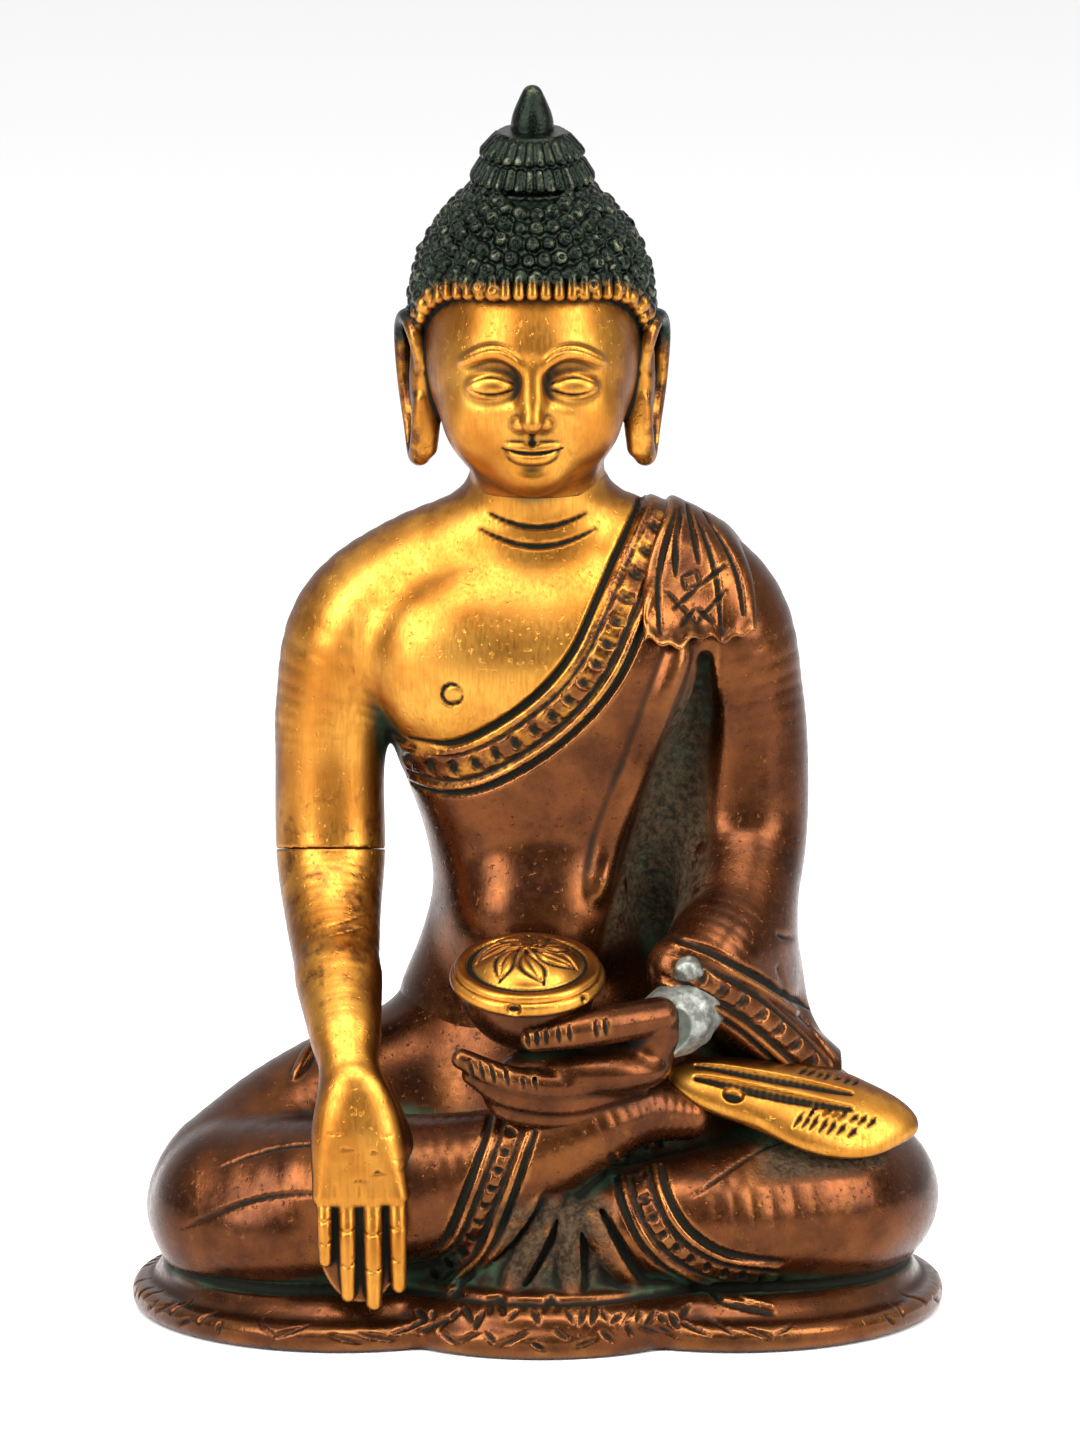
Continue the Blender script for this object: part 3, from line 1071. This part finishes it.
class Nodes:
    """A short way to write a material's nodes."""

    def __init__(self, name):
        self.material = bpy.data.materials.new(name)
        self.material.use_nodes = True
        self.tree = self.material.node_tree
        self.shader = self.tree.nodes["Principled BSDF"]
        self.place = self.add("ShaderNodeTexCoord").outputs["Object"]

    def add(self, kind, **settings):
        node = self.tree.nodes.new(kind)
        for name, value in settings.items():
            setattr(node, name, value)
        return node

    def link(self, source, socket):
        if isinstance(source, (int, float, tuple)):
            socket.default_value = source
        else:
            self.tree.links.new(source, socket)

    def mask(self, name):
        return self.add("ShaderNodeAttribute", attribute_name=name).outputs["Fac"]

    def noise(self, size, detail=4.0, rough=0.6, stretch=(1, 1, 1), warp=0.0):
        """Noise whose features are about size millimetres across."""
        spread = self.add("ShaderNodeMapping")
        spread.inputs["Scale"].default_value = tuple(1 / (size * MM * s) for s in stretch)
        self.link(self.place, spread.inputs["Vector"])
        node = self.add("ShaderNodeTexNoise")
        self.link(spread.outputs[0], node.inputs["Vector"])
        node.inputs["Scale"].default_value = 1.0
        node.inputs["Detail"].default_value = detail
        node.inputs["Roughness"].default_value = rough
        node.inputs["Distortion"].default_value = warp
        return node.outputs["Fac"]

    def map(self, value, low, high, to_low=0.0, to_high=1.0):
        node = self.add("ShaderNodeMapRange", interpolation_type="SMOOTHSTEP")
        for socket, number in zip(node.inputs[:5], (value, low, high, to_low, to_high)):
            self.link(number, socket)
        return node.outputs[0]

    def math(self, kind, a, b=0.0):
        node = self.add("ShaderNodeMath", operation=kind, use_clamp=kind in ("ADD", "MULTIPLY"))
        self.link(a, node.inputs[0])
        self.link(b, node.inputs[1])
        return node.outputs[0]

    def mix(self, share, a, b):
        node = self.add("ShaderNodeMix", data_type="RGBA")
        for socket, value in ((node.inputs["Factor"], share), (node.inputs[6], a), (node.inputs[7], b)):
            self.link(value, socket)
        return node.outputs[2]

    def blend(self, share, a, b):
        node = self.add("ShaderNodeMix", data_type="FLOAT")
        for socket, value in ((node.inputs["Factor"], share), (node.inputs[2], a), (node.inputs[3], b)):
            self.link(value, socket)
        return node.outputs[0]

    def bump(self, height, strength, distance, normal=None):
        node = self.add("ShaderNodeBump")
        node.inputs["Strength"].default_value = strength
        node.inputs["Distance"].default_value = distance * MM
        self.link(height, node.inputs["Height"])
        if normal is not None:
            self.link(normal, node.inputs["Normal"])
        return node.outputs[0]


def cast_metal():
    """Brass under a copper-brown patina: bright where gilt, dark where dirt sits, green in folds."""
    n = Nodes("cast_metal")
    gilt, cuts, creases, edges = (n.mask(k) for k in ("gilt", "cuts", "creases", "edges"))
    hollows, black, raw = n.mask("hollows"), n.mask("black"), n.mask("raw")
    flank = n.mask("flank")
    patches, spots = n.noise(9, 5), n.noise(1.1, 6, 0.7)
    brush = n.noise(0.35, 3, 0.6, stretch=(1, 1, 14))
    brass = n.mix(n.map(patches, 0.35, 0.65), (0.33, 0.13, 0.017, 1), (0.50, 0.235, 0.038, 1))
    brass = n.mix(n.map(brush, 0.35, 0.7, 0, 0.35), brass, (0.22, 0.08, 0.012, 1))
    brass = n.mix(n.map(n.noise(20, 3), 0.46, 0.66, 0, 0.55), brass, (0.27, 0.088, 0.012, 1))
    worn_off = n.math("ADD", flank, n.map(n.noise(5, 5), 0.3, 0.7, -0.3, 0.3))
    brass = n.mix(n.map(worn_off, 0.05, 0.9, 0, 0.9), brass, (0.13, 0.040, 0.009, 1))
    brown = n.mix(n.map(n.noise(7, 4), 0.3, 0.7), (0.044, 0.0140, 0.0056, 1), (0.100, 0.0310, 0.0092, 1))
    brown = n.mix(n.map(n.noise(16, 4), 0.5, 0.72, 0, 0.6), brown, (0.165, 0.056, 0.013, 1))
    brown = n.mix(n.map(spots, 0.5, 0.8, 0, 0.35), brown, (0.045, 0.017, 0.009, 1))
    brown = n.mix(n.map(flank, 0.3, 1.0, 0, 0.5), brown, (0.055, 0.016, 0.008, 1))
    rubbed = n.math("MULTIPLY", edges, n.map(patches, 0.3, 0.6))
    brown = n.mix(n.math("MULTIPLY", rubbed, 0.6), brown, (0.34, 0.135, 0.035, 1))
    edge_of_gilt = n.math("ADD", gilt, n.map(n.noise(2.2, 5), 0.3, 0.7, -0.22, 0.22))
    golden = n.map(edge_of_gilt, 0.3, 0.7)
    colour = n.mix(golden, brown, brass)
    shade = n.math("ADD", n.math("MULTIPLY", hollows, 0.9), n.math("MULTIPLY", creases, 0.9))
    tanned = n.math("MULTIPLY", shade, n.map(spots, 0.25, 0.7, 0.65, 1))
    colour = n.mix(tanned, colour, (0.020, 0.009, 0.005, 1))
    green = n.math("MULTIPLY", n.map(hollows, 0.12, 0.6), n.map(n.noise(3.2, 5), 0.34, 0.56))
    colour = n.mix(n.math("MULTIPLY", green, 0.88), colour, (0.030, 0.066, 0.036, 1))
    grain = n.noise(0.9, 5, 0.7)
    skin = n.mix(n.map(grain, 0.35, 0.65), (0.016, 0.011, 0.006, 1), (0.080, 0.053, 0.028, 1))
    rough_cast = n.math("MULTIPLY", raw, n.map(n.noise(4, 4), 0.3, 0.5))
    colour = n.mix(n.math("MULTIPLY", rough_cast, 0.9), colour, skin)
    colour = n.mix(cuts, colour, (0.008, 0.008, 0.005, 1))
    tips = n.math("MULTIPLY", edges, n.map(n.noise(1.6, 4), 0.45, 0.7, 0, 0.6))
    hair = n.mix(tips, (0.009, 0.0125, 0.009, 1), (0.13, 0.135, 0.085, 1))
    colour = n.mix(black, colour, hair)
    n.link(colour, n.shader.inputs["Base Color"])
    dirt = n.math("ADD", n.math("ADD", cuts, n.math("MULTIPLY", shade, 0.7)), rough_cast)
    clean = n.math("MAXIMUM", n.blend(golden, 0.9, 1.0), black)
    n.link(n.math("MULTIPLY", clean, n.map(dirt, 0.1, 1.0, 1.0, 0.8)), n.shader.inputs["Metallic"])
    n.shader.inputs["Specular IOR Level"].default_value = 0.3
    sheen = n.blend(golden, n.map(spots, 0.3, 0.7, 0.22, 0.34), n.map(brush, 0.3, 0.7, 0.32, 0.44))
    rough = n.blend(dirt, sheen, 0.76)
    n.link(n.blend(black, rough, 0.24), n.shader.inputs["Roughness"])
    scratched = n.bump(brush, 0.25, 0.05)
    pitted = n.bump(n.map(n.noise(0.8, 3, 0.5), 0.62, 0.74), 0.4, -0.12, scratched)
    cast = n.bump(n.math("MULTIPLY", grain, rough_cast), 0.9, 0.5, pitted)
    locks = n.bump(n.math("MULTIPLY", n.noise(0.5, 4, 0.6), black), 0.7, 0.2, cast)
    n.link(n.bump(n.noise(2.8, 3, 0.45), 0.2, 0.12, locks), n.shader.inputs["Normal"])
    return n.material


def solder_metal():
    n = Nodes("soft_solder")
    patches = n.noise(1.4, 5)
    colour = n.mix(n.map(patches, 0.35, 0.7), (0.08, 0.08, 0.065, 1), (0.25, 0.26, 0.23, 1))
    colour = n.mix(n.map(n.mask("creases"), 0.2, 1, 0, 0.8), colour, (0.04, 0.05, 0.035, 1))
    n.link(colour, n.shader.inputs["Base Color"])
    n.shader.inputs["Metallic"].default_value = 0.7
    n.link(n.map(patches, 0.3, 0.7, 0.6, 0.4), n.shader.inputs["Roughness"])
    n.link(n.bump(n.noise(0.7, 4), 0.5, 0.12), n.shader.inputs["Normal"])
    return n.material


def plate_metal():
    n = Nodes("sheet_brass")
    stain = n.noise(12, 6)
    roll = n.noise(0.4, 3, 0.5, stretch=(30, 1, 1))
    colour = n.mix(n.map(stain, 0.35, 0.65), (0.42, 0.25, 0.08, 1), (0.24, 0.12, 0.05, 1))
    n.link(colour, n.shader.inputs["Base Color"])
    n.shader.inputs["Metallic"].default_value = 0.9
    n.link(n.map(stain, 0.3, 0.7, 0.38, 0.6), n.shader.inputs["Roughness"])
    n.link(n.bump(roll, 0.3, 0.04), n.shader.inputs["Normal"])
    return n.material


def floor_paint():
    n = Nodes("pale_floor")
    n.shader.inputs["Base Color"].default_value = (0.94, 0.94, 0.94, 1)
    n.shader.inputs["Roughness"].default_value = 0.6
    return n.material


# ---- stage ---------------------------------------------------------------------------------------

def set_stage():
    bpy.ops.mesh.primitive_plane_add(size=6, location=(0, 0, cad_low.z))
    floor = bpy.context.object
    floor.name = "floor"
    floor.data.materials.append(floor_paint())
    set_world()
    for name, place, size, power in (("left_box", (-0.52, -0.46, 0.42), (0.34, 0.6), 8),
                                     ("right_box", (0.56, -0.40, 0.40), (0.30, 0.6), 7),
                                     ("top_box", (0, -0.36, 0.78), (0.6, 0.3), 6)):
        light = bpy.data.lights.new(name, "AREA")
        light.shape, light.size, light.size_y, light.energy = "RECTANGLE", *size, power
        lamp = bpy.data.objects.new(name, light)
        bpy.context.collection.objects.link(lamp)
        lamp.location = place
        lamp.rotation_euler = (Vector((0, 0, 0.08)) - Vector(place)).to_track_quat("-Z", "Y").to_euler()


def set_world():
    """A pale studio: white overhead and behind, dim low in front, so that metal has dark to reflect."""
    world = bpy.data.worlds.new("studio")
    world.use_nodes = True
    tree = world.node_tree
    direction = tree.nodes.new("ShaderNodeTexCoord")
    split = tree.nodes.new("ShaderNodeSeparateXYZ")
    tree.links.new(direction.outputs["Generated"], split.inputs[0])
    overhead = fade_of(tree, split.outputs["Z"], (0.3, 0.8, 0.0, 1.15))
    behind = fade_of(tree, split.outputs["Y"], (-0.4, 0.9, 0.28, 0.8))
    brighter = tree.nodes.new("ShaderNodeMath")
    brighter.operation = "MAXIMUM"
    tree.links.new(overhead, brighter.inputs[0])
    tree.links.new(behind, brighter.inputs[1])
    tree.links.new(brighter.outputs[0], tree.nodes["Background"].inputs["Strength"])
    tree.nodes["Background"].inputs["Color"].default_value = (1, 1, 1, 1)
    bpy.context.scene.world = world
    bpy.context.scene.view_settings.view_transform = "Standard"


def fade_of(tree, value, limits):
    """A smooth step of a direction's value between limits (from, to, result from, result to)."""
    fade = tree.nodes.new("ShaderNodeMapRange")
    fade.interpolation_type = "SMOOTHSTEP"
    tree.links.new(value, fade.inputs[0])
    for socket, number in zip(fade.inputs[1:5], limits):
        socket.default_value = number
    return fade.outputs[0]


def set_camera():
    """A long lens, 10 degrees above the figure's middle."""
    elevation, distance, seen_height = math.radians(10), 1.7, 0.1868
    target = Vector((0.0003, 0, TOP * 0.482 * MM))
    data = bpy.data.cameras.new("camera")
    data.sensor_width = 36
    data.lens = data.sensor_width * distance / seen_height
    camera = bpy.data.objects.new("camera", data)
    bpy.context.collection.objects.link(camera)
    camera.location = target + distance * Vector((0, -math.cos(elevation), math.sin(elevation)))
    camera.rotation_euler = (target - camera.location).to_track_quat("-Z", "Y").to_euler()
    bpy.context.scene.camera = camera


def main():
    set_stage()
    set_camera()
    make_trunk()
    make_forearm()
    make_head()
    make_jewel()
    make_lap()
    make_left_hand()
    make_bowl()
    make_lid()
    make_sole()
    make_fold()
    make_solder()
    shade_hollows()
    metal, solder = cast_metal(), solder_metal()
    for name, (made, _) in pieces.items():
        made.data.materials.append(solder if "solder" in name else metal)
    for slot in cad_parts["base_plate"].material_slots:
        slot.material = plate_metal()


main()
